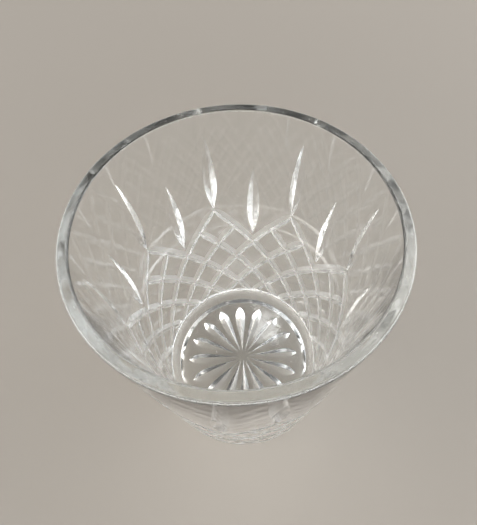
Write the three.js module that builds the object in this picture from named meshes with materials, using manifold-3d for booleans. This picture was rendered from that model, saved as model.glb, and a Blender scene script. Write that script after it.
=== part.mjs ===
// A crystal ice bucket: one piece of clear glass, decorated with wheel cuts.
// Millimetres, +Z up. The foot stands on z = 0 and the bucket's axis is x = y = 0.
import * as THREE from "three";
import { mergeVertices } from "three/addons/utils/BufferGeometryUtils.js";
import Module from "manifold-3d";

const wasm = await Module();
wasm.setup();

// The vessel.
const HEIGHT = 178;
const RIM_RADIUS = 83;
const FOOT_RADIUS = 60;
const RIM_WALL = 5.8; // thickness of the wall at the rim, measured level
const FOOT_WALL = 10; // what that thickness has grown to at the level of the table
const FLOOR_LEVEL = 9; // height of the inner floor above the table
const FLOOR_FILLET = 8; // rounding between the inner wall and the inner floor
const RIM_ROUNDING = 1.3; // rounding of both edges of the polished rim
const HEEL_ROUNDING = 1.6; // rounding between the outer wall and the foot
const SEGMENTS_AROUND = 64;

// The shallow dish ground into the underside leaves a flat foot ring around it.
const FOOT_RING = 12; // width of the ring, from the outside of the foot
const DISH_DEPTH = 3;
const DISH_SLOPE = 32; // degrees between the dish's sloping edge and the table
const DISH_ROUNDING = 4; // rounding between the sloping edge and the flat of the dish

// The cut pattern repeats around the wall.
const REPEATS = 8;
const FIRST_FLAME_TURN = 11.25; // degrees from +X to the first tall flame

// The flames are upright leaf-shaped cuts. A short one stands midway between two tall ones.
const FLAME_WIDTH = 9.2;
const FLAME_MITRE = 118; // angle of the V of the cutting wheel, in degrees
const FLAME_BELLY = 0.43; // where a flame is widest, as a share of its length from the bottom
const PLAIN_BAND = 19; // between the rim and the tops of the tall flames
const SHORT_FLAME_DROP = 25.5; // how much lower the tops of the short flames are
const SHORT_FLAME_GAP = 8; // between a short flame and the crossed cuts below it
const FLAME_STATIONS = 8;

// The crossed cuts below the flames. They start in pairs at the foot of each tall flame.
const HATCH_TOP = 99;
const HEEL_BAND = 2.5; // height above the table at which the crossed cuts end
const HATCH_LEAN = 39.2; // degrees between a cut and the wall's upright line
const HATCH_WIDTH = 6.6;
const HATCH_MITRE = 118;
const HATCH_START = 9; // height over which a cut deepens at its upper end
const HATCH_OVERRUN = 1.6; // how far a cut starts above the place where two of them meet
const HATCH_RUN_OUT = 8; // height over which it fades at its lower end

// The star is cut into the dish.
const STAR_RAYS = 16;
const STAR_RADIUS = 40.3;
const STAR_EYE = 2; // radius of the plain spot in the middle
const STAR_WIDTH = 7.2;
const STAR_MITRE = 100;
const STAR_BELLY = 0.8; // where a ray is widest, as a share of the star's radius
const STAR_STATIONS = 8;

// How far the cutters stand out of the glass, so that they cut clean through its surface.
const CUTTER_LIFT = 0.8;
const CORNER_STEPS = 3;
const FILLET_STEPS = 6;

const WALL_TAPER = Math.atan2(RIM_RADIUS - FOOT_RADIUS, HEIGHT);
const HALF_REPEAT = Math.PI / REPEATS;

function radians(degrees) {
  return THREE.MathUtils.degToRad(degrees);
}

function wallRadius(height) {
  return FOOT_RADIUS + height * Math.tan(WALL_TAPER);
}

// Rounds one corner of a profile with an arc that touches the lines on both sides of it.
function roundedCorner(before, corner, after, radius, steps) {
  const toBefore = before.clone().sub(corner).normalize();
  const toAfter = after.clone().sub(corner).normalize();
  const halfAngle = Math.acos(toBefore.dot(toAfter)) / 2;
  const inward = toBefore.clone().add(toAfter).normalize();
  const centre = corner.clone().addScaledVector(inward, radius / Math.sin(halfAngle));
  const start = corner.clone().addScaledVector(toBefore, radius / Math.tan(halfAngle)).sub(centre);
  const end = corner.clone().addScaledVector(toAfter, radius / Math.tan(halfAngle)).sub(centre);
  const sweep = Math.atan2(start.cross(end), start.dot(end));
  const points = [];
  for (let step = 0; step <= steps; step += 1) {
    const turned = start.clone().rotateAround(new THREE.Vector2(), (sweep * step) / steps);
    points.push(turned.add(centre));
  }
  return points;
}

// The half section of the plain bucket, from the middle of the underside to the middle of the floor.
function vesselProfile() {
  const wallAt = (height) => THREE.MathUtils.lerp(FOOT_WALL, RIM_WALL, height / HEIGHT);
  const innerRadius = (height) => wallRadius(height) - wallAt(height);
  const dishMiddle = new THREE.Vector2(0, DISH_DEPTH);
  const footInner = new THREE.Vector2(FOOT_RADIUS - FOOT_RING, 0);
  const dishRadius = footInner.x - DISH_DEPTH / Math.tan(radians(DISH_SLOPE));
  const dishEdge = new THREE.Vector2(dishRadius, DISH_DEPTH);
  const heel = new THREE.Vector2(FOOT_RADIUS, 0);
  const rimOuter = new THREE.Vector2(RIM_RADIUS, HEIGHT);
  const rimInner = new THREE.Vector2(innerRadius(HEIGHT), HEIGHT);
  const floorEdge = new THREE.Vector2(innerRadius(FLOOR_LEVEL), FLOOR_LEVEL);
  const floorMiddle = new THREE.Vector2(0, FLOOR_LEVEL);
  return [
    dishMiddle,
    ...roundedCorner(dishMiddle, dishEdge, footInner, DISH_ROUNDING, CORNER_STEPS),
    footInner,
    ...roundedCorner(footInner, heel, rimOuter, HEEL_ROUNDING, CORNER_STEPS),
    ...roundedCorner(heel, rimOuter, rimInner, RIM_ROUNDING, CORNER_STEPS),
    ...roundedCorner(rimOuter, rimInner, floorEdge, RIM_ROUNDING, CORNER_STEPS),
    ...roundedCorner(rimInner, floorEdge, floorMiddle, FLOOR_FILLET, FILLET_STEPS),
    floorMiddle,
  ];
}

function vesselGeometry() {
  const geometry = new THREE.LatheGeometry(vesselProfile(), SEGMENTS_AROUND);
  geometry.rotateX(Math.PI / 2);
  return geometry;
}

// The point of the outer wall at an angle and height, with the directions of the wall there.
function wallPlace(angle, height) {
  const radial = new THREE.Vector3(Math.cos(angle), Math.sin(angle), 0);
  const up = new THREE.Vector3(0, 0, 1);
  return {
    point: radial.clone().multiplyScalar(wallRadius(height)).setZ(height),
    out: radial.clone().multiplyScalar(Math.cos(WALL_TAPER)).addScaledVector(up, -Math.sin(WALL_TAPER)),
    upright: radial.clone().multiplyScalar(Math.sin(WALL_TAPER)).addScaledVector(up, Math.cos(WALL_TAPER)),
  };
}

// The solid that a V-shaped wheel sweeps. Each station has a point of the surface, the direction out
// of the surface, the step across the cut that widens it by one on that side, and the depth of the V.
function mitreCutter(stations, mitre) {
  const slope = Math.tan(radians(mitre) / 2);
  const corners = [];
  for (const { point, out, across, depth } of stations) {
    const reach = (depth + CUTTER_LIFT) * slope;
    const brim = point.clone().addScaledVector(out, CUTTER_LIFT);
    corners.push(point.clone().addScaledVector(out, -depth));
    corners.push(brim.clone().addScaledVector(across, -reach));
    corners.push(brim.clone().addScaledVector(across, reach));
  }
  const geometry = new THREE.BufferGeometry().setFromPoints(corners);
  geometry.setIndex(sweptTriangles(corners));
  return geometry;
}

// The triangles of a closed sweep with three corners at each station.
function sweptTriangles(corners) {
  const triangles = [0, 1, 2];
  for (let first = 0; first < corners.length - 3; first += 3) {
    for (let corner = 0; corner < 3; corner += 1) {
      const near = first + corner;
      const next = first + ((corner + 1) % 3);
      triangles.push(...bulgingPair(corners, near, near + 3, next + 3, next));
    }
  }
  const last = corners.length - 3;
  triangles.push(last, last + 2, last + 1);
  return triangles;
}

// Splits a four-sided patch along the diagonal that makes it bulge, so that a twisted cutter has no
// hollow side that would leave a crumb of glass where two cuts cross.
function bulgingPair(corners, a, b, c, d) {
  const normal = new THREE.Vector3().subVectors(corners[b], corners[a]);
  normal.cross(new THREE.Vector3().subVectors(corners[d], corners[a]));
  const rise = normal.dot(new THREE.Vector3().subVectors(corners[c], corners[a]));
  return rise <= 0 ? [a, b, d, d, b, c] : [a, b, c, a, c, d];
}

// A leaf shape: nothing at both ends, all of it at the belly.
function leafShare(share, belly) {
  const half = share < belly ? belly : 1 - belly;
  return 1 - ((share - belly) / half) ** 2;
}

function flameCutter(angle, bottom, top) {
  const fullDepth = FLAME_WIDTH / 2 / Math.tan(radians(FLAME_MITRE) / 2);
  const stations = [];
  for (let step = 0; step <= FLAME_STATIONS; step += 1) {
    const share = step / FLAME_STATIONS;
    const { point, out, upright } = wallPlace(angle, THREE.MathUtils.lerp(bottom, top, share));
    const across = new THREE.Vector3().crossVectors(out, upright);
    stations.push({ point, out, across, depth: fullDepth * leafShare(share, FLAME_BELLY) });
  }
  return mitreCutter(stations, FLAME_MITRE);
}

function flameCutters() {
  const cutters = [];
  const tallTop = HEIGHT - PLAIN_BAND;
  const shortTop = tallTop - SHORT_FLAME_DROP;
  const shortBottom = hatchHeight(HATCH_TOP, HALF_REPEAT) + SHORT_FLAME_GAP;
  for (let repeat = 0; repeat < REPEATS; repeat += 1) {
    const angle = radians(FIRST_FLAME_TURN) + 2 * HALF_REPEAT * repeat;
    cutters.push(flameCutter(angle, HATCH_TOP, tallTop));
    cutters.push(flameCutter(angle + HALF_REPEAT, shortBottom, shortTop));
  }
  return cutters;
}

// A crossed cut keeps its lean on the cone, so its turn follows the logarithm of the wall radius.
function hatchTurn(fromHeight, toHeight) {
  const ratio = wallRadius(fromHeight) / wallRadius(toHeight);
  return (Math.tan(radians(HATCH_LEAN)) / Math.sin(WALL_TAPER)) * Math.log(ratio);
}

// The height that a cut has come down to after a turn.
function hatchHeight(fromHeight, turn) {
  const shrink = Math.exp((-turn * Math.sin(WALL_TAPER)) / Math.tan(radians(HATCH_LEAN)));
  return (wallRadius(fromHeight) * shrink - FOOT_RADIUS) / Math.tan(WALL_TAPER);
}

function hatchDepth(height, end) {
  const fullDepth = HATCH_WIDTH / 2 / Math.tan(radians(HATCH_MITRE) / 2);
  const start = Math.min(1, (end - height) / HATCH_START);
  const runOut = Math.min(1, (height - HEEL_BAND) / HATCH_RUN_OUT);
  return fullDepth * (1 - (1 - start) ** 2) * (1 - (1 - runOut) ** 2);
}

// The turns from its meeting place at which a crossed cut has a station: its upper end, the edges
// between the wall's facets, and its lower end.
function hatchTurns(meetingHeight) {
  const facet = (2 * Math.PI) / SEGMENTS_AROUND;
  const last = hatchTurn(meetingHeight, HEEL_BAND);
  const turns = [hatchTurn(meetingHeight, meetingHeight + HATCH_OVERRUN)];
  for (let turn = 0; turn < last - facet / 4; turn += facet) {
    turns.push(turn);
  }
  turns.push(last);
  return turns;
}

// One crossed cut, from the heel up to just above its meeting place. Direction is +1 or -1 around
// the wall. Its sections stand upright, so that they fall on the edges between the wall's facets.
function hatchCutter(meetingAngle, meetingHeight, direction) {
  const end = meetingHeight + HATCH_OVERRUN;
  const stations = [];
  for (const turn of hatchTurns(meetingHeight).reverse()) {
    const height = hatchHeight(meetingHeight, turn);
    const { point, out, upright } = wallPlace(meetingAngle + direction * turn, height);
    const across = upright.multiplyScalar(-direction / Math.sin(radians(HATCH_LEAN)));
    stations.push({ point, out, across, depth: hatchDepth(height, end) });
  }
  return mitreCutter(stations, HATCH_MITRE);
}

// Two cuts spread from the foot of each tall flame. Two more start where those have turned a
// quarter of a repeat, and run back under the flame.
function hatchCutters() {
  const cutters = [];
  const shoulderTurn = HALF_REPEAT / 2;
  const shoulder = hatchHeight(HATCH_TOP, shoulderTurn);
  for (let repeat = 0; repeat < REPEATS; repeat += 1) {
    const angle = radians(FIRST_FLAME_TURN) + 2 * HALF_REPEAT * repeat;
    for (const direction of [1, -1]) {
      cutters.push(hatchCutter(angle, HATCH_TOP, direction));
      cutters.push(hatchCutter(angle - direction * shoulderTurn, shoulder, direction));
    }
  }
  return cutters;
}

// A ray grows from the eye to its belly and then closes to a point at the star's radius.
function rayShare(radius) {
  const belly = STAR_RADIUS * STAR_BELLY;
  if (radius < belly) {
    return THREE.MathUtils.smoothstep(radius, STAR_EYE, belly);
  }
  return 1 - ((radius - belly) / (STAR_RADIUS - belly)) ** 2;
}

function rayCutter(angle) {
  const fullDepth = STAR_WIDTH / 2 / Math.tan(radians(STAR_MITRE) / 2);
  const along = new THREE.Vector3(Math.cos(angle), Math.sin(angle), 0);
  const out = new THREE.Vector3(0, 0, -1);
  const across = new THREE.Vector3().crossVectors(out, along);
  const stations = [];
  for (let step = 0; step <= STAR_STATIONS; step += 1) {
    const radius = THREE.MathUtils.lerp(STAR_EYE, STAR_RADIUS, step / STAR_STATIONS);
    const point = along.clone().multiplyScalar(radius).setZ(DISH_DEPTH);
    stations.push({ point, out, across, depth: fullDepth * rayShare(radius) });
  }
  return mitreCutter(stations, STAR_MITRE);
}

function starCutters() {
  const cutters = [];
  for (let ray = 0; ray < STAR_RAYS; ray += 1) {
    cutters.push(rayCutter((2 * Math.PI * ray) / STAR_RAYS));
  }
  return cutters;
}

// Joins equal vertices and leaves out the flat triangles on the axis, so that the solid is closed.
function solidOf(geometry) {
  const bare = geometry.clone();
  bare.deleteAttribute("normal");
  bare.deleteAttribute("uv");
  const merged = mergeVertices(bare);
  const index = merged.getIndex().array;
  const triangles = [];
  for (let i = 0; i < index.length; i += 3) {
    const [a, b, c] = [index[i], index[i + 1], index[i + 2]];
    if (a !== b && b !== c && c !== a) {
      triangles.push(a, b, c);
    }
  }
  const mesh = new wasm.Mesh({
    numProp: 3,
    vertProperties: Float32Array.from(merged.getAttribute("position").array),
    triVerts: Uint32Array.from(triangles),
  });
  return new wasm.Manifold(mesh);
}

function geometryOf(solid) {
  const mesh = solid.getMesh();
  const geometry = new THREE.BufferGeometry();
  geometry.setAttribute("position", new THREE.BufferAttribute(mesh.vertProperties, 3));
  geometry.setIndex(new THREE.BufferAttribute(mesh.triVerts, 1));
  geometry.computeVertexNormals();
  return geometry;
}

function bucketGeometry() {
  let solid = solidOf(vesselGeometry());
  for (const cutter of [...flameCutters(), ...hatchCutters(), ...starCutters()]) {
    solid = solid.subtract(solidOf(cutter));
  }
  return geometryOf(solid);
}

const glass = new THREE.MeshStandardMaterial({ color: 0xdfe8e8, roughness: 0.05, metalness: 0 });
const bucket = new THREE.Mesh(bucketGeometry(), glass);
bucket.name = "bucket";

const part = new THREE.Group();
part.name = "crystal_ice_bucket";
part.add(bucket);

export default part;
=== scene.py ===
"""The look of a cut crystal ice bucket: one piece of clear glass on a pale floor.

The bucket is turned on a lathe from its half section, then carved with the V of a cutting wheel:
flames, crossed cuts and a star under the foot. Sizes are in millimetres until they reach a mesh.
"""

import math

import bpy
import numpy as np
from mathutils import Matrix, Vector


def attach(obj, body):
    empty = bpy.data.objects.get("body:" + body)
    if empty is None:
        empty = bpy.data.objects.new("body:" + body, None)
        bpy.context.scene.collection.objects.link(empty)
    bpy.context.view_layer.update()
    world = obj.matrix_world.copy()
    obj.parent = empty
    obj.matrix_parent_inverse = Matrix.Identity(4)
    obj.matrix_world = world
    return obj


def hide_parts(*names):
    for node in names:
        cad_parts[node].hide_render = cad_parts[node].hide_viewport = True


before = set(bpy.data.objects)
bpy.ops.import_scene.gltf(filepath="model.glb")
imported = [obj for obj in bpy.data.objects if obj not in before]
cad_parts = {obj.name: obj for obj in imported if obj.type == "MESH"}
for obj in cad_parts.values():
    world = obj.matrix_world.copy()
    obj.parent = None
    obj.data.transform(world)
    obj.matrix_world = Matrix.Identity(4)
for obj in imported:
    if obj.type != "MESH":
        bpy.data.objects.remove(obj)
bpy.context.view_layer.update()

MM = 0.001

# The vessel.
HEIGHT = 178.0
RIM_RADIUS = 83.0
FOOT_RADIUS = 60.0
RIM_WALL = 5.8
FOOT_WALL = 10.0
FLOOR_LEVEL = 9.0
FLOOR_FILLET = 8.0
RIM_ROUNDING = 1.4
HEEL_ROUNDING = 1.6
TURNED_SIDES = 360
ARC_STEPS = 10

# The dish in the underside, and the flat ring around it that the bucket stands on.
FOOT_RING = 12.0
DISH_DEPTH = 3.0
DISH_SLOPE = 32.0
DISH_ROUNDING = 4.0

# The cut pattern around the wall.
REPEATS = 8
FIRST_FLAME_TURN = 11.25
FLAME_WIDTH = 9.2
FLAME_MITRE = 118.0
FLAME_BELLY = 0.43
PLAIN_BAND = 19.0
SHORT_FLAME_DROP = 25.5
SHORT_FLAME_GAP = 8.0
HATCH_TOP = 99.0
HEEL_BAND = 2.5
HATCH_LEAN = 39.2
HATCH_WIDTH = 6.6
HATCH_MITRE = 118.0
HATCH_START = 9.0
HATCH_OVERRUN = 1.6
HATCH_RUN_OUT = 8.0

# The star cut into the dish.
STAR_RAYS = 16
STAR_RADIUS = 40.3
STAR_EYE = 2.0
STAR_WIDTH = 7.2
STAR_MITRE = 100.0
STAR_BELLY = 0.8

# How far a cutting wheel's flanks reach out of the glass.
CUTTER_LIFT = 0.8

# Faces that meet at more than this angle, in degrees, keep their edge.
CREASE_ANGLE = 14.0

# A point that is nearer to the axis than this is on it.
ON_AXIS = 1e-9

WALL_TAPER = math.atan2(RIM_RADIUS - FOOT_RADIUS, HEIGHT)
HALF_REPEAT = math.pi / REPEATS
DISH_RADIUS = FOOT_RADIUS - FOOT_RING - DISH_DEPTH / math.tan(math.radians(DISH_SLOPE))

FINISHES = ("outer_wall", "rim", "inside", "foot", "hatch_cut", "flame_cut", "star_cut")

# The glass itself. The rim's tint is darker and greener than the rest: painted shade that stands in
# for the deeper green where the light runs far in the glass, and dims the rim.
CRYSTAL_INDEX = 1.54
CLEAR_TINT = (0.975, 0.985, 0.98)
FOOT_TINT = (0.97, 0.98, 0.975)
RIM_PAINTED_SHADE_TINT = (0.91, 0.95, 0.925)

# How satin each finish is, from 0 for a perfect polish.
POLISH = 0.02
RIM_SATIN = 0.12
FOOT_SATIN = 0.03
HATCH_SATIN = 0.3
FLAME_SATIN = 0.07
STAR_SATIN = 0.16

# How much light each surface of the glass lets straight through to what is in its shadow. The rest
# of the light comes through the glass bent.
SHADOW_CLEARNESS = 0.6

# Light runs down inside the wall in this many reflections at most.
GLOSSY_BOUNCES = 12

# The room has bright walls around it, brightest in front, and is dim above and below them. The walls
# start and end over these angles from level, in degrees, and fade over this part of the way back.
FRONT_LEVEL = 5.2
BACK_LEVEL = 0.2
DIM_LEVEL = 0.05
WALLS_START = (-20.5, -6.9)
WALLS_END = (22.0, 34.0)
FADE_BACK = (0.1, 0.95)
LEFT_TINT = (1.0, 0.96, 0.91)
RIGHT_TINT = (0.95, 0.98, 1.0)
TINT_REACH = 0.7

# The lamps, in metres: name, place, what it points at, width and height, and watts.
LAMPS = (
    ("window", (0.75, 0.65, 1.1), (0, 0, 0.08), (0.8, 0.6), 2.0),
    ("fill", (-1.1, -0.4, 0.9), (0, 0, 0.08), (0.9, 0.9), 0.8),
    ("glare", (0.14, 0.62, 1.15), (0.02, 0.03, 0.009), (0.14, 0.12), 0.5),
)

FLOOR_COLOUR = (0.46, 0.42, 0.375, 1)
FLOOR_ROUGHNESS = 0.7
FLOOR_REACH = 3000.0
FLOOR_UNDER_FOOT = 0.2


def wall_radius(height):
    return FOOT_RADIUS + height * math.tan(WALL_TAPER)


def out_of(direction):
    """The way out of the glass for a half section that is walked in that direction."""
    return np.array([direction[1], -direction[0]])


def straight(start, end, finish):
    """A straight strip of the half section, with its direction out of the glass at both ends."""
    start = np.array(start, float)
    end = np.array(end, float)
    out = out_of((end - start) / np.linalg.norm(end - start))
    return {"points": [start, end], "outs": [out, out], "finish": finish}


def rounded(before, corner, after, radius, finish):
    """An arc strip that rounds a corner and touches the lines on both sides of it."""
    before, corner, after = (np.array(p, float) for p in (before, corner, after))
    to_before = (before - corner) / np.linalg.norm(before - corner)
    to_after = (after - corner) / np.linalg.norm(after - corner)
    half_angle = math.acos(float(to_before @ to_after)) / 2
    inward = (to_before + to_after) / np.linalg.norm(to_before + to_after)
    centre = corner + inward * radius / math.sin(half_angle)
    start = corner + to_before * radius / math.tan(half_angle) - centre
    end = corner + to_after * radius / math.tan(half_angle) - centre
    sweep = math.atan2(start[0] * end[1] - start[1] * end[0], start @ end)
    side = math.copysign(1.0, sweep)
    points = []
    outs = []
    for step in range(ARC_STEPS + 1):
        turn = sweep * step / ARC_STEPS
        arm = np.array(
            [
                start[0] * math.cos(turn) - start[1] * math.sin(turn),
                start[0] * math.sin(turn) + start[1] * math.cos(turn),
            ]
        )
        points.append(centre + arm)
        outs.append(side * arm / radius)
    return {"points": points, "outs": outs, "finish": finish}


def half_section():
    """The strips of the plain bucket, from the middle of the underside to the middle of the floor."""

    def inner(height):
        thickness = FOOT_WALL + (RIM_WALL - FOOT_WALL) * height / HEIGHT
        return (wall_radius(height) - thickness, height)

    dish_middle = (0.0, DISH_DEPTH)
    dish_edge = (DISH_RADIUS, DISH_DEPTH)
    ring_inner = (FOOT_RADIUS - FOOT_RING, 0.0)
    heel = (FOOT_RADIUS, 0.0)
    rim_outer = (RIM_RADIUS, HEIGHT)
    rim_inner = inner(HEIGHT)
    floor_edge = inner(FLOOR_LEVEL)
    floor_middle = (0.0, FLOOR_LEVEL)
    heel_arc = rounded(ring_inner, heel, rim_outer, HEEL_ROUNDING, "outer_wall")
    outer_arc = rounded(heel, rim_outer, rim_inner, RIM_ROUNDING, "rim")
    inner_arc = rounded(rim_outer, rim_inner, floor_edge, RIM_ROUNDING, "rim")
    fillet = rounded(rim_inner, floor_edge, floor_middle, FLOOR_FILLET, "inside")
    dish_arc = rounded(dish_middle, dish_edge, ring_inner, DISH_ROUNDING, "foot")
    return [
        straight(dish_middle, dish_arc["points"][0], "foot"),
        dish_arc,
        straight(dish_arc["points"][-1], ring_inner, "foot"),
        straight(ring_inner, heel_arc["points"][0], "foot"),
        heel_arc,
        straight(heel_arc["points"][-1], outer_arc["points"][0], "outer_wall"),
        outer_arc,
        straight(outer_arc["points"][-1], inner_arc["points"][0], "rim"),
        inner_arc,
        straight(inner_arc["points"][-1], fillet["points"][0], "inside"),
        fillet,
        straight(fillet["points"][-1], floor_middle, "inside"),
    ]


def turned_vessel(strips):
    """The closed mesh that the half section sweeps: its corners, faces and finish numbers."""
    section = [strips[0]["points"][0]]
    finishes = []
    for strip in strips:
        section.extend(strip["points"][1:])
        finishes.extend([FINISHES.index(strip["finish"])] * (len(strip["points"]) - 1))
    turns = np.arange(TURNED_SIDES) * 2 * math.pi / TURNED_SIDES
    circle = np.stack([np.cos(turns), np.sin(turns)], axis=1)
    corners = []
    rings = []
    for radius, height in section:
        if radius < ON_AXIS:
            rings.append([len(corners)] * TURNED_SIDES)
            corners.append((0.0, 0.0, height))
        else:
            rings.append(list(range(len(corners), len(corners) + TURNED_SIDES)))
            corners.extend((radius * x, radius * y, height) for x, y in circle)
    faces = []
    numbers = []
    for lower, upper, finish in zip(rings, rings[1:], finishes):
        for side in range(TURNED_SIDES):
            following = (side + 1) % TURNED_SIDES
            face = [lower[side], lower[following], upper[following], upper[side]]
            faces.append(list(dict.fromkeys(face)))
            numbers.append(finish)
    return corners, faces, numbers


def wall_place(turn, height):
    """A point of the outer wall, the way out of the wall there, and the wall's own way up."""
    radial = np.array([math.cos(turn), math.sin(turn), 0.0])
    up = np.array([0.0, 0.0, 1.0])
    point = radial * wall_radius(height) + up * height
    out = radial * math.cos(WALL_TAPER) - up * math.sin(WALL_TAPER)
    upright = radial * math.sin(WALL_TAPER) + up * math.cos(WALL_TAPER)
    return point, out, upright


def cut_depth(width, mitre):
    """How deep a V-shaped wheel goes in a cut of that width."""
    return width / 2 / math.tan(math.radians(mitre) / 2)


def mitre_sweep(stations, mitre):
    """The closed solid that a V-shaped wheel sweeps, from (point, out, across, depth) stations."""
    slope = math.tan(math.radians(mitre) / 2)
    corners = []
    for point, out, across, depth in stations:
        reach = (depth + CUTTER_LIFT) * slope
        brim = point + out * CUTTER_LIFT
        corners.append(point - out * depth)
        corners.append(brim - across * reach)
        corners.append(brim + across * reach)
    faces = [[0, 1, 2]]
    for first in range(0, len(corners) - 3, 3):
        for corner in range(3):
            near = first + corner
            beside = first + (corner + 1) % 3
            faces.append([near, near + 3, beside])
            faces.append([beside, near + 3, beside + 3])
    last = len(corners) - 3
    faces.append([last, last + 2, last + 1])
    return corners, faces


def flame(turn, bottom, top, steps=48):
    """A leaf-shaped cut that stands upright on the wall."""
    full_depth = cut_depth(FLAME_WIDTH, FLAME_MITRE)
    stations = []
    for step in range(steps + 1):
        share = step / steps
        half = FLAME_BELLY if share < FLAME_BELLY else 1 - FLAME_BELLY
        depth = full_depth * (1 - ((share - FLAME_BELLY) / half) ** 2)
        point, out, upright = wall_place(turn, bottom + (top - bottom) * share)
        stations.append((point, out, np.cross(out, upright), depth))
    return mitre_sweep(stations, FLAME_MITRE)


def hatch_height(from_height, turn):
    """The height that a crossed cut has come down to after a turn around the wall."""
    shrink = math.exp(-turn * math.sin(WALL_TAPER) / math.tan(math.radians(HATCH_LEAN)))
    return (wall_radius(from_height) * shrink - FOOT_RADIUS) / math.tan(WALL_TAPER)


def hatch_turn(from_height, to_height):
    """The turn that takes a crossed cut from one height to another. It keeps its lean on the cone."""
    ratio = wall_radius(from_height) / wall_radius(to_height)
    return math.tan(math.radians(HATCH_LEAN)) / math.sin(WALL_TAPER) * math.log(ratio)


def hatch(meeting_turn, meeting_height, direction, steps=72):
    """A crossed cut, from the heel up to just above its meeting place."""
    full_depth = cut_depth(HATCH_WIDTH, HATCH_MITRE)
    lean = math.radians(HATCH_LEAN)
    end = meeting_height + HATCH_OVERRUN
    stations = []
    for step in range(steps + 1):
        height = HEEL_BAND + (end - HEEL_BAND) * step / steps
        turn = meeting_turn + direction * hatch_turn(meeting_height, height)
        point, out, upright = wall_place(turn, height)
        around = np.cross(upright, out)
        along = upright * math.cos(lean) - around * direction * math.sin(lean)
        start = min(1.0, (end - height) / HATCH_START)
        run_out = min(1.0, (height - HEEL_BAND) / HATCH_RUN_OUT)
        depth = full_depth * (1 - (1 - start) ** 2) * (1 - (1 - run_out) ** 2)
        stations.append((point, out, np.cross(out, along), depth))
    return mitre_sweep(stations, HATCH_MITRE)


def star_ray(turn, steps=36):
    """A ray of the star, cut upwards into the dish."""
    full_depth = cut_depth(STAR_WIDTH, STAR_MITRE)
    along = np.array([math.cos(turn), math.sin(turn), 0.0])
    out = np.array([0.0, 0.0, -1.0])
    belly = STAR_RADIUS * STAR_BELLY
    stations = []
    for step in range(steps + 1):
        radius = STAR_EYE + (STAR_RADIUS - STAR_EYE) * step / steps
        if radius < belly:
            grown = (radius - STAR_EYE) / (belly - STAR_EYE)
            share = grown * grown * (3 - 2 * grown)
        else:
            share = 1 - ((radius - belly) / (STAR_RADIUS - belly)) ** 2
        point = along * radius + np.array([0.0, 0.0, DISH_DEPTH])
        stations.append((point, out, np.cross(out, along), full_depth * share))
    return mitre_sweep(stations, STAR_MITRE)


def flames():
    """The tall flames, and midway between them the short ones."""
    tall_top = HEIGHT - PLAIN_BAND
    short_bottom = hatch_height(HATCH_TOP, HALF_REPEAT) + SHORT_FLAME_GAP
    cuts = []
    for repeat in range(REPEATS):
        turn = math.radians(FIRST_FLAME_TURN) + 2 * HALF_REPEAT * repeat
        cuts.append(flame(turn, HATCH_TOP, tall_top))
        cuts.append(flame(turn + HALF_REPEAT, short_bottom, tall_top - SHORT_FLAME_DROP))
    return cuts


def hatches(direction):
    """The cuts that lean one way. Half start at the flames, half a quarter of a repeat further."""
    shoulder_turn = HALF_REPEAT / 2
    shoulder = hatch_height(HATCH_TOP, shoulder_turn)
    cuts = []
    for repeat in range(REPEATS):
        turn = math.radians(FIRST_FLAME_TURN) + 2 * HALF_REPEAT * repeat
        cuts.append(hatch(turn, HATCH_TOP, direction))
        cuts.append(hatch(turn - direction * shoulder_turn, shoulder, direction))
    return cuts


def star():
    return [star_ray(2 * math.pi * ray / STAR_RAYS) for ray in range(STAR_RAYS)]


def mesh_object(name, corners, faces, numbers, materials):
    """An object in the scene. Each face's number says which of the materials it has."""
    mesh = bpy.data.meshes.new(name)
    mesh.from_pydata([tuple(c * MM for c in corner) for corner in corners], [], faces)
    for material in materials:
        mesh.materials.append(material)
    mesh.polygons.foreach_set("material_index", numbers)
    mesh.update()
    piece = bpy.data.objects.new(name, mesh)
    bpy.context.scene.collection.objects.link(piece)
    return piece


def cutter_object(name, cuts, finish, materials):
    """One mesh of several cutters, whose faces leave the finish on what they cut."""
    corners = []
    faces = []
    for cut_corners, cut_faces in cuts:
        start = len(corners)
        corners.extend(cut_corners)
        faces.extend([corner + start for corner in face] for face in cut_faces)
    return mesh_object(name, corners, faces, [FINISHES.index(finish)] * len(faces), materials)


def carve(piece, cutters):
    """Cuts the cutters out of the piece for good, and clears them away."""
    for cutter in cutters:
        modifier = piece.modifiers.new(cutter.name, "BOOLEAN")
        modifier.operation = "DIFFERENCE"
        modifier.solver = "MANIFOLD"
        modifier.object = cutter
    depsgraph = bpy.context.evaluated_depsgraph_get()
    carved = bpy.data.meshes.new_from_object(piece.evaluated_get(depsgraph))
    piece.modifiers.clear()
    piece.data = carved
    for cutter in cutters:
        bpy.data.objects.remove(cutter)


def read_numbers(items, name):
    """One whole number of every item of a mesh."""
    values = np.empty(len(items), int)
    items.foreach_get(name, values)
    return values


def read_places(items, name):
    """One place of every item of a mesh, in millimetres."""
    values = np.empty(len(items) * 3)
    items.foreach_get(name, values)
    return values.reshape(-1, 3) / MM


def in_section(places):
    """Where places lie in the half section: how far from the axis, and how high."""
    return np.stack([np.hypot(places[:, 0], places[:, 1]), places[:, 2]], axis=1)


def section_lines(strips):
    """The start and end of each short line of the half section, and the ways out there."""
    starts = []
    ends = []
    first_outs = []
    last_outs = []
    for strip in strips:
        starts.extend(strip["points"][:-1])
        ends.extend(strip["points"][1:])
        first_outs.extend(strip["outs"][:-1])
        last_outs.extend(strip["outs"][1:])
    return [np.array(rows) for rows in (starts, ends, first_outs, last_outs)]


def share_along(points, start, end):
    """How far along its line each point is, from 0 at the start to 1 at the end."""
    chord = end - start
    return np.clip(((points - start) * chord).sum(-1) / (chord**2).sum(-1), 0, 1)[..., None]


def nearest_line(points, starts, ends):
    """The number of the line of the half section that each point is nearest to."""
    distances = []
    for start, end in zip(starts, ends):
        foot = start + (end - start) * share_along(points, start, end)
        distances.append(np.linalg.norm(points - foot, axis=1))
    return np.argmin(distances, axis=0)


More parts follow.
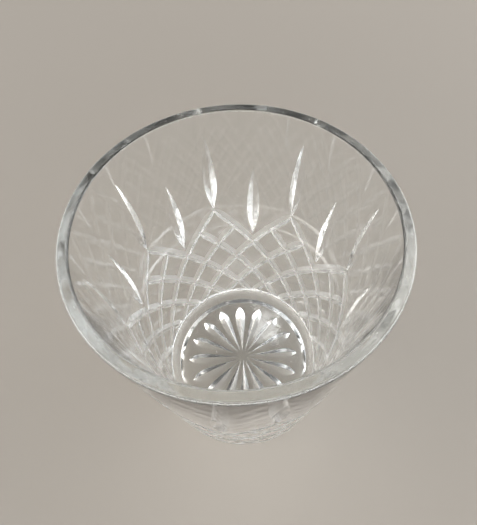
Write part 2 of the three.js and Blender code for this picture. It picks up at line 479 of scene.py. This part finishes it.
def smooth_turned_faces(mesh, strips):
    """Gives the turned faces the exact normals of the half section, and creases the cut edges."""
    mesh.shade_smooth()
    mesh.set_sharp_from_angle(angle=math.radians(CREASE_ANGLE))
    starts, ends, first_outs, last_outs = section_lines(strips)
    sizes = read_numbers(mesh.polygons, "loop_total")
    finishes = np.repeat(read_numbers(mesh.polygons, "material_index"), sizes)
    centres = in_section(read_places(mesh.polygons, "center"))
    line = np.repeat(nearest_line(centres, starts, ends), sizes)
    corners = read_places(mesh.vertices, "co")[read_numbers(mesh.loops, "vertex_index")]
    points = in_section(corners)
    share = share_along(points, starts[line], ends[line])
    outs = first_outs[line] * (1 - share) + last_outs[line] * share
    radial = corners[:, :2] / np.maximum(points[:, :1], ON_AXIS)
    normals = np.hstack([radial * outs[:, :1], outs[:, 1:]])
    normals /= np.linalg.norm(normals, axis=1)[:, None]
    normals[finishes >= FINISHES.index("hatch_cut")] = 0
    mesh.normals_split_custom_set(normals.tolist())


def feed(tree, value, socket):
    """Sets a socket to a number, or links another node's output to it."""
    if isinstance(value, (int, float)):
        socket.default_value = value
    else:
        tree.links.new(value, socket)


def maths(tree, operation, *values):
    """A Math node's result. Each value is a number or another node's output."""
    node = tree.nodes.new("ShaderNodeMath")
    node.operation = operation
    for socket, value in zip(node.inputs, values):
        feed(tree, value, socket)
    return node.outputs[0]


def ease(tree, value, low, high):
    """0 below low, 1 above high, and smooth between them."""
    node = tree.nodes.new("ShaderNodeMapRange")
    node.interpolation_type = "SMOOTHSTEP"
    feed(tree, value, node.inputs["Value"])
    feed(tree, low, node.inputs["From Min"])
    feed(tree, high, node.inputs["From Max"])
    return node.outputs[0]


def less(tree, value):
    """What the value leaves of 1."""
    return maths(tree, "SUBTRACT", 1.0, value)


def noise(tree, place, size, detail=1.0, distortion=0.0):
    """Noise whose blots are about as large as the size, which is in metres."""
    node = tree.nodes.new("ShaderNodeTexNoise")
    node.inputs["Detail"].default_value = detail
    node.inputs["Distortion"].default_value = distortion
    tree.links.new(place, node.inputs["Vector"])
    tree.links.new(maths(tree, "DIVIDE", 1.0, size), node.inputs["Scale"])
    return node.outputs["Fac"]


def object_place(tree):
    return tree.nodes.new("ShaderNodeTexCoord").outputs["Object"]


def split_place(tree, place):
    """The X, Y and Z of a place."""
    split = tree.nodes.new("ShaderNodeSeparateXYZ")
    tree.links.new(place, split.inputs[0])
    return split.outputs


def new_group(name, inputs, output):
    """A node group with named numbers going in and one number coming out."""
    tree = bpy.data.node_groups.new(name, "ShaderNodeTree")
    for label, value in inputs.items():
        socket = tree.interface.new_socket(label, in_out="INPUT", socket_type="NodeSocketFloat")
        socket.default_value = value
    tree.interface.new_socket(output, in_out="OUTPUT", socket_type="NodeSocketFloat")
    start = tree.nodes.new("NodeGroupInput").outputs
    end = tree.nodes.new("NodeGroupOutput").inputs[output]
    return tree, start, end


def handling_haze_group():
    """Soft patches where hands and drying water have dulled the polish."""
    tree, start, end = new_group("handling_haze", {"Patch Size": 0.03}, "Haze")
    blots = noise(tree, object_place(tree), start["Patch Size"], detail=3.0, distortion=0.4)
    tree.links.new(ease(tree, blots, 0.45, 0.72), end)
    return tree


def hairline_scratches_group():
    """Thin broken lines, the narrow band where a soft noise passes its middle value."""
    tree, start, end = new_group("hairline_scratches", {"Spacing": 0.012, "Width": 0.006}, "Scratches")
    place = object_place(tree)
    field = noise(tree, place, start["Spacing"], detail=0.0, distortion=0.8)
    away = maths(tree, "ABSOLUTE", maths(tree, "SUBTRACT", field, 0.5))
    line = less(tree, ease(tree, away, 0.0, start["Width"]))
    break_size = maths(tree, "MULTIPLY", start["Spacing"], 0.7)
    breaks = ease(tree, noise(tree, place, break_size), 0.5, 0.62)
    tree.links.new(maths(tree, "MULTIPLY", line, breaks), end)
    return tree


def blown_waves_group():
    """The slow unevenness of the blown wall, as a height from 0 to 1."""
    tree, start, end = new_group("blown_waves", {"Wave Length": 0.02}, "Height")
    tree.links.new(noise(tree, object_place(tree), start["Wave Length"], detail=0.0), end)
    return tree


def wheel_grain_group():
    """The fine grain that the cutting wheel leaves, from 0 to 1."""
    tree, start, end = new_group("wheel_grain", {"Grain Size": 0.0006}, "Grain")
    tree.links.new(noise(tree, object_place(tree), start["Grain Size"], detail=3.0), end)
    return tree


def edge_scuffs_group():
    """Scuffs and small nicks around an edge that runs level at the edge height."""
    tree, start, end = new_group(
        "edge_scuffs", {"Edge Height": 0.0, "Reach": 0.002, "Nick Size": 0.002}, "Scuffs"
    )
    place = object_place(tree)
    height = split_place(tree, place)["Z"]
    away = maths(tree, "ABSOLUTE", maths(tree, "SUBTRACT", height, start["Edge Height"]))
    near = less(tree, ease(tree, away, 0.0, start["Reach"]))
    nicks = ease(tree, noise(tree, place, start["Nick Size"], detail=3.0), 0.5, 0.66)
    tree.links.new(maths(tree, "MULTIPLY", near, nicks), end)
    return tree


def turning_marks_group():
    """Fine broken circles around the axis, left by grinding and by turning on a table."""
    tree, start, end = new_group("turning_marks", {"Spacing": 0.0008}, "Marks")
    place = object_place(tree)
    x, y, _ = split_place(tree, place)
    x_squared = maths(tree, "MULTIPLY", x, x)
    y_squared = maths(tree, "MULTIPLY", y, y)
    from_axis = maths(tree, "SQRT", maths(tree, "ADD", x_squared, y_squared))
    line_place = tree.nodes.new("ShaderNodeCombineXYZ")
    tree.links.new(from_axis, line_place.inputs["X"])
    circles = ease(tree, noise(tree, line_place.outputs[0], start["Spacing"], detail=2.0), 0.58, 0.68)
    breaks = ease(tree, noise(tree, place, 0.02, detail=1.0), 0.4, 0.6)
    tree.links.new(maths(tree, "MULTIPLY", circles, breaks), end)
    return tree


def clear_crystal(name, tint, roughness):
    """Clear crystal that lets lamps reach what is in its shadow."""
    material = bpy.data.materials.new(name)
    material.use_nodes = True
    tree = material.node_tree
    shader = tree.nodes["Principled BSDF"]
    shader.inputs["Base Color"].default_value = (*tint, 1)
    shader.inputs["Roughness"].default_value = roughness
    shader.inputs["IOR"].default_value = CRYSTAL_INDEX
    shader.inputs["Transmission Weight"].default_value = 1.0
    clear = tree.nodes.new("ShaderNodeBsdfTransparent")
    clear.inputs["Color"].default_value = (SHADOW_CLEARNESS, SHADOW_CLEARNESS, SHADOW_CLEARNESS, 1)
    path = tree.nodes.new("ShaderNodeLightPath")
    mix = tree.nodes.new("ShaderNodeMixShader")
    tree.links.new(path.outputs["Is Shadow Ray"], mix.inputs[0])
    tree.links.new(shader.outputs[0], mix.inputs[1])
    tree.links.new(clear.outputs[0], mix.inputs[2])
    tree.links.new(mix.outputs[0], tree.nodes["Material Output"].inputs["Surface"])
    return material


def effect(material, group, **values):
    """Places a node group in the material and gives its result."""
    node = material.node_tree.nodes.new("ShaderNodeGroup")
    node.node_tree = group
    for label, value in values.items():
        node.inputs[label.replace("_", " ")].default_value = value
    return node.outputs[0]


def roughen(material, *effects):
    """Adds effects, each with its share, to the roughness that the material has."""
    tree = material.node_tree
    socket = tree.nodes["Principled BSDF"].inputs["Roughness"]
    total = socket.default_value
    for result, share in effects:
        total = maths(tree, "MULTIPLY_ADD", result, share, total)
    tree.links.new(total, socket)


def raise_surface(material, *effects):
    """Gives the surface a relief from effects, each with its height in metres."""
    tree = material.node_tree
    total = 0.0
    for result, height in effects:
        total = maths(tree, "MULTIPLY_ADD", result, height, total)
    bump = tree.nodes.new("ShaderNodeBump")
    bump.inputs["Strength"].default_value = 1.0
    bump.inputs["Distance"].default_value = 1.0
    tree.links.new(total, bump.inputs["Height"])
    tree.links.new(bump.outputs[0], tree.nodes["Principled BSDF"].inputs["Normal"])


def crystal_finishes():
    """The finishes of the bucket, in the order of FINISHES."""
    haze = handling_haze_group()
    scratches = hairline_scratches_group()
    waves = blown_waves_group()
    grain = wheel_grain_group()
    scuffs = edge_scuffs_group()
    marks = turning_marks_group()

    outer_wall = clear_crystal("crystal_outer_wall", CLEAR_TINT, POLISH)
    hairlines = effect(outer_wall, scratches, Spacing=0.014, Width=0.004)
    roughen(
        outer_wall,
        (effect(outer_wall, haze, Patch_Size=0.03), 0.08),
        (hairlines, 0.25),
        (effect(outer_wall, scuffs, Edge_Height=0.0, Reach=0.005, Nick_Size=0.0015), 0.35),
    )
    wall_waves = effect(outer_wall, waves, Wave_Length=0.022)
    raise_surface(outer_wall, (wall_waves, 0.00006), (hairlines, -0.000006))

    # The rim is a darker, greener copy of the clear crystal: painted shade.
    rim = clear_crystal("crystal_rim", RIM_PAINTED_SHADE_TINT, RIM_SATIN)
    rim_marks = effect(rim, marks, Spacing=0.0006)
    roughen(
        rim,
        (rim_marks, 0.06),
        (effect(rim, scuffs, Edge_Height=HEIGHT * MM, Reach=0.002, Nick_Size=0.002), 0.12),
    )
    raise_surface(rim, (rim_marks, -0.000001), (effect(rim, waves, Wave_Length=0.012), 0.00001))

    inside = clear_crystal("crystal_inside", CLEAR_TINT, POLISH)
    inner_hairlines = effect(inside, scratches, Spacing=0.018, Width=0.003)
    roughen(inside, (effect(inside, haze, Patch_Size=0.04), 0.08), (inner_hairlines, 0.25))
    inner_waves = effect(inside, waves, Wave_Length=0.028)
    raise_surface(inside, (inner_waves, 0.00008), (inner_hairlines, -0.000006))

    foot = clear_crystal("crystal_foot", FOOT_TINT, FOOT_SATIN)
    foot_marks = effect(foot, marks, Spacing=0.0009)
    foot_hairlines = effect(foot, scratches, Spacing=0.006, Width=0.01)
    roughen(
        foot,
        (foot_marks, 0.3),
        (foot_hairlines, 0.3),
        (effect(foot, scuffs, Edge_Height=0.0, Reach=0.0004, Nick_Size=0.0008), 0.4),
    )
    raise_surface(foot, (foot_marks, -0.00001), (foot_hairlines, -0.00001))

    cuts = []
    for name, satin, grain_size in (
        ("crystal_hatch_cut", HATCH_SATIN, 0.0005),
        ("crystal_flame_cut", FLAME_SATIN, 0.0008),
        ("crystal_star_cut", STAR_SATIN, 0.0008),
    ):
        cut = clear_crystal(name, CLEAR_TINT, satin)
        cut_grain = effect(cut, grain, Grain_Size=grain_size)
        roughen(cut, (cut_grain, 0.1))
        raise_surface(cut, (cut_grain, 0.00001), (effect(cut, waves, Wave_Length=0.006), 0.00005))
        cuts.append(cut)
    return [outer_wall, rim, inside, foot, *cuts]


def make_bucket():
    materials = crystal_finishes()
    strips = half_section()
    corners, faces, numbers = turned_vessel(strips)
    bucket = mesh_object("crystal_bucket", corners, faces, numbers, materials)
    carve(
        bucket,
        [
            cutter_object("flame_wheel", flames(), "flame_cut", materials),
            cutter_object("left_wheel", hatches(1), "hatch_cut", materials),
            cutter_object("right_wheel", hatches(-1), "hatch_cut", materials),
            cutter_object("star_wheel", star(), "star_cut", materials),
        ],
    )
    smooth_turned_faces(bucket.data, strips)
    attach(bucket, "root")
    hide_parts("bucket")


def make_floor():
    material = bpy.data.materials.new("pale_floor")
    material.use_nodes = True
    shader = material.node_tree.nodes["Principled BSDF"]
    shader.inputs["Base Color"].default_value = FLOOR_COLOUR
    shader.inputs["Roughness"].default_value = FLOOR_ROUGHNESS
    corners = [
        (-FLOOR_REACH, -FLOOR_REACH, -FLOOR_UNDER_FOOT),
        (FLOOR_REACH, -FLOOR_REACH, -FLOOR_UNDER_FOOT),
        (FLOOR_REACH, FLOOR_REACH, -FLOOR_UNDER_FOOT),
        (-FLOOR_REACH, FLOOR_REACH, -FLOOR_UNDER_FOOT),
    ]
    floor = mesh_object("floor", corners, [[0, 1, 2, 3]], [0], [material])


def make_lamp(name, place, target, size, watts):
    lamp = bpy.data.lights.new(name, "AREA")
    lamp.shape = "RECTANGLE"
    lamp.size, lamp.size_y = size
    lamp.energy = watts
    holder = bpy.data.objects.new(name, lamp)
    holder.location = place
    holder.rotation_mode = "QUATERNION"
    holder.rotation_quaternion = (Vector(target) - Vector(place)).to_track_quat("-Z", "Y")
    bpy.context.scene.collection.objects.link(holder)


def make_world():
    """Soft light from all round, brightest low in front, warmer on the left than on the right."""
    world = bpy.data.worlds.new("studio")
    world.use_nodes = True
    tree = world.node_tree
    background = tree.nodes["Background"]
    place = tree.nodes.new("ShaderNodeTexCoord").outputs["Generated"]
    right, behind, above = split_place(tree, place)
    in_front = less(tree, ease(tree, behind, *FADE_BACK))
    walls = maths(tree, "MULTIPLY_ADD", in_front, FRONT_LEVEL - BACK_LEVEL, BACK_LEVEL)
    start_low, start_high = (math.sin(math.radians(angle)) for angle in WALLS_START)
    end_low, end_high = (math.sin(math.radians(angle)) for angle in WALLS_END)
    under_walls = less(tree, ease(tree, above, start_low, start_high))
    over_walls = ease(tree, above, end_low, end_high)
    past_walls = maths(tree, "ADD", over_walls, under_walls)
    to_dim = maths(tree, "SUBTRACT", DIM_LEVEL, walls)
    level = maths(tree, "MULTIPLY_ADD", past_walls, to_dim, walls)
    tint = tree.nodes.new("ShaderNodeValToRGB")
    tint.color_ramp.elements[0].color = (*LEFT_TINT, 1)
    tint.color_ramp.elements[1].color = (*RIGHT_TINT, 1)
    tree.links.new(ease(tree, right, -TINT_REACH, TINT_REACH), tint.inputs[0])
    tree.links.new(tint.outputs[0], background.inputs["Color"])
    tree.links.new(level, background.inputs["Strength"])
    bpy.context.scene.world = world


def make_camera():
    """The camera of the photograph, in units of the rim's radius and degrees."""
    focal_pixels = 482.2
    down_pixels = 525
    middle_row = 207.0
    sensor = 36
    back, above = 1.600, 4.340
    around, pan, tilt, roll = (math.radians(a) for a in (0.389, 1.251, 52.332, -2.727))
    unit = RIM_RADIUS * MM
    forward = Vector((math.sin(pan) * math.cos(tilt), math.cos(pan) * math.cos(tilt), -math.sin(tilt)))
    level = Vector((math.cos(pan), -math.sin(pan), 0))
    up = level.cross(forward)
    right = level * math.cos(roll) + up * math.sin(roll)
    upward = up * math.cos(roll) - level * math.sin(roll)
    lens = bpy.data.cameras.new("camera")
    lens.sensor_width = sensor
    lens.lens = sensor * focal_pixels / down_pixels
    lens.shift_y = (middle_row - down_pixels / 2) / down_pixels
    lens.clip_start = 0.01
    camera = bpy.data.objects.new("camera", lens)
    camera.matrix_world = Matrix((right, upward, -forward)).transposed().to_4x4()
    camera.location = Vector((-back * math.sin(around), -back * math.cos(around), above)) * unit
    bpy.context.scene.collection.objects.link(camera)
    bpy.context.scene.camera = camera


make_camera()
make_floor()
make_world()
for lamp_values in LAMPS:
    make_lamp(*lamp_values)
make_bucket()

scene = bpy.context.scene
scene.view_settings.view_transform = "Standard"
scene.cycles.glossy_bounces = GLOSSY_BOUNCES
